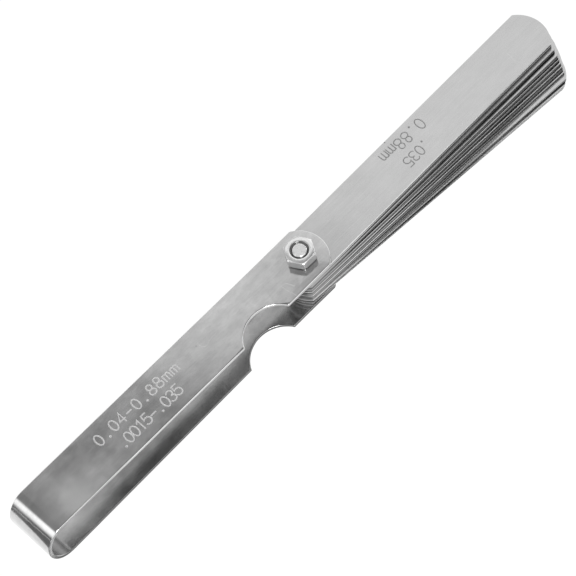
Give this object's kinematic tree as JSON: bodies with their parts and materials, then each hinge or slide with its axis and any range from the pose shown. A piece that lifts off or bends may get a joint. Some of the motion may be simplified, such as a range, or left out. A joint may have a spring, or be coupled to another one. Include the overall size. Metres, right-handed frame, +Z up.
{
  "type": "feeler gauge",
  "caption": "Thickness gauge: steel measuring blades fan out on a screw and hexagon nut between the two plates of a bent steel holder with a finger notch.",
  "frame": {"origin": "on the pivot's axis, level with the face of the screw's head, on which the gauge rests", "axes": "+X from the fold of the holder through the pivot to the blades' tips, +Z up the pivot's axis from the screw's head to the nut, +Y across the blades, away from the finger notch"},
  "size_m": [0.1769, 0.0194, 0.0179],
  "materials": {
    "holder_steel": "satin, lightly polished",
    "blade_steel": "fine satin",
    "nut_steel": "bright plated",
    "screw_steel": "bright turned"
  },
  "bodies": {
    "holder": {"holder": "holder_steel", "pivot_screw": "screw_steel", "hex_nut": "nut_steel"},
    "blade_088": {"blade_088": "blade_steel"},
    "blade_080": {"blade_080": "blade_steel"},
    "blade_075": {"blade_075": "blade_steel"},
    "blade_070": {"blade_070": "blade_steel"},
    "blade_063": {"blade_063": "blade_steel"},
    "blade_055": {"blade_055": "blade_steel"},
    "blade_050": {"blade_050": "blade_steel"},
    "blade_048": {"blade_048": "blade_steel"},
    "blade_045": {"blade_045": "blade_steel"},
    "blade_043": {"blade_043": "blade_steel"},
    "blade_040": {"blade_040": "blade_steel"},
    "blade_038": {"blade_038": "blade_steel"},
    "blade_035": {"blade_035": "blade_steel"},
    "blade_033": {"blade_033": "blade_steel"},
    "blade_030": {"blade_030": "blade_steel"},
    "blade_028": {"blade_028": "blade_steel"},
    "blade_025": {"blade_025": "blade_steel"},
    "blade_023": {"blade_023": "blade_steel"},
    "blade_020": {"blade_020": "blade_steel"},
    "blade_018": {"blade_018": "blade_steel"},
    "blade_015": {"blade_015": "blade_steel"},
    "blade_013": {"blade_013": "blade_steel"},
    "blade_010": {"blade_010": "blade_steel"},
    "blade_008": {"blade_008": "blade_steel"},
    "blade_005": {"blade_005": "blade_steel"},
    "blade_004": {"blade_004": "blade_steel"}
  },
  "joints": [
    {"name": "pivot_088", "type": "hinge", "parent": "holder", "child": "blade_088", "pos_m": [0, 0, 0.0131], "axis": [0, 0, 1], "range_deg": [-180.3, 179.7]},
    {"name": "pivot_080", "type": "hinge", "parent": "holder", "child": "blade_080", "pos_m": [0, 0, 0.01224], "axis": [0, 0, 1], "range_deg": [-180.25, 179.75]},
    {"name": "pivot_075", "type": "hinge", "parent": "holder", "child": "blade_075", "pos_m": [0, 0, 0.01145], "axis": [0, 0, 1], "range_deg": [-179.6, 180.4]},
    {"name": "pivot_070", "type": "hinge", "parent": "holder", "child": "blade_070", "pos_m": [0, 0, 0.0107], "axis": [0, 0, 1], "range_deg": [-179.5, 180.5]},
    {"name": "pivot_063", "type": "hinge", "parent": "holder", "child": "blade_063", "pos_m": [0, 0, 0.01001], "axis": [0, 0, 1], "range_deg": [-178.85, 181.15]},
    {"name": "pivot_055", "type": "hinge", "parent": "holder", "child": "blade_055", "pos_m": [0, 0, 0.00941], "axis": [0, 0, 1], "range_deg": [-178.65, 181.35]},
    {"name": "pivot_050", "type": "hinge", "parent": "holder", "child": "blade_050", "pos_m": [0, 0, 0.00886], "axis": [0, 0, 1], "range_deg": [-178.5, 181.5]},
    {"name": "pivot_048", "type": "hinge", "parent": "holder", "child": "blade_048", "pos_m": [0, 0, 0.00835], "axis": [0, 0, 1], "range_deg": [-178.4, 181.6]},
    {"name": "pivot_045", "type": "hinge", "parent": "holder", "child": "blade_045", "pos_m": [0, 0, 0.00787], "axis": [0, 0, 1], "range_deg": [-178.05, 181.95]},
    {"name": "pivot_043", "type": "hinge", "parent": "holder", "child": "blade_043", "pos_m": [0, 0, 0.00741], "axis": [0, 0, 1], "range_deg": [-177.95, 182.05]},
    {"name": "pivot_040", "type": "hinge", "parent": "holder", "child": "blade_040", "pos_m": [0, 0, 0.00697], "axis": [0, 0, 1], "range_deg": [-177.75, 182.25]},
    {"name": "pivot_038", "type": "hinge", "parent": "holder", "child": "blade_038", "pos_m": [0, 0, 0.00656], "axis": [0, 0, 1], "range_deg": [-177.65, 182.35]},
    {"name": "pivot_035", "type": "hinge", "parent": "holder", "child": "blade_035", "pos_m": [0, 0, 0.00617], "axis": [0, 0, 1], "range_deg": [-177.55, 182.45]},
    {"name": "pivot_033", "type": "hinge", "parent": "holder", "child": "blade_033", "pos_m": [0, 0, 0.00581], "axis": [0, 0, 1], "range_deg": [-177.4, 182.6]},
    {"name": "pivot_030", "type": "hinge", "parent": "holder", "child": "blade_030", "pos_m": [0, 0, 0.00548], "axis": [0, 0, 1], "range_deg": [-177.1, 182.9]},
    {"name": "pivot_028", "type": "hinge", "parent": "holder", "child": "blade_028", "pos_m": [0, 0, 0.00517], "axis": [0, 0, 1], "range_deg": [-177, 183]},
    {"name": "pivot_025", "type": "hinge", "parent": "holder", "child": "blade_025", "pos_m": [0, 0, 0.00488], "axis": [0, 0, 1], "range_deg": [-176.9, 183.1]},
    {"name": "pivot_023", "type": "hinge", "parent": "holder", "child": "blade_023", "pos_m": [0, 0, 0.00462], "axis": [0, 0, 1], "range_deg": [-176.25, 183.75]},
    {"name": "pivot_020", "type": "hinge", "parent": "holder", "child": "blade_020", "pos_m": [0, 0, 0.00439], "axis": [0, 0, 1], "range_deg": [-176.15, 183.85]},
    {"name": "pivot_018", "type": "hinge", "parent": "holder", "child": "blade_018", "pos_m": [0, 0, 0.00418], "axis": [0, 0, 1], "range_deg": [-176.1, 183.9]},
    {"name": "pivot_015", "type": "hinge", "parent": "holder", "child": "blade_015", "pos_m": [0, 0, 0.004], "axis": [0, 0, 1], "range_deg": [-176.05, 183.95]},
    {"name": "pivot_013", "type": "hinge", "parent": "holder", "child": "blade_013", "pos_m": [0, 0, 0.00383], "axis": [0, 0, 1], "range_deg": [-176, 184]},
    {"name": "pivot_010", "type": "hinge", "parent": "holder", "child": "blade_010", "pos_m": [0, 0, 0.0037], "axis": [0, 0, 1], "range_deg": [-175.7, 184.3]},
    {"name": "pivot_008", "type": "hinge", "parent": "holder", "child": "blade_008", "pos_m": [0, 0, 0.00359], "axis": [0, 0, 1], "range_deg": [-175.6, 184.4]},
    {"name": "pivot_005", "type": "hinge", "parent": "holder", "child": "blade_005", "pos_m": [0, 0, 0.0035], "axis": [0, 0, 1], "range_deg": [-175.5, 184.5]},
    {"name": "pivot_004", "type": "hinge", "parent": "holder", "child": "blade_004", "pos_m": [0, 0, 0.00344], "axis": [0, 0, 1], "range_deg": [-175.45, 184.55]}
  ]
}
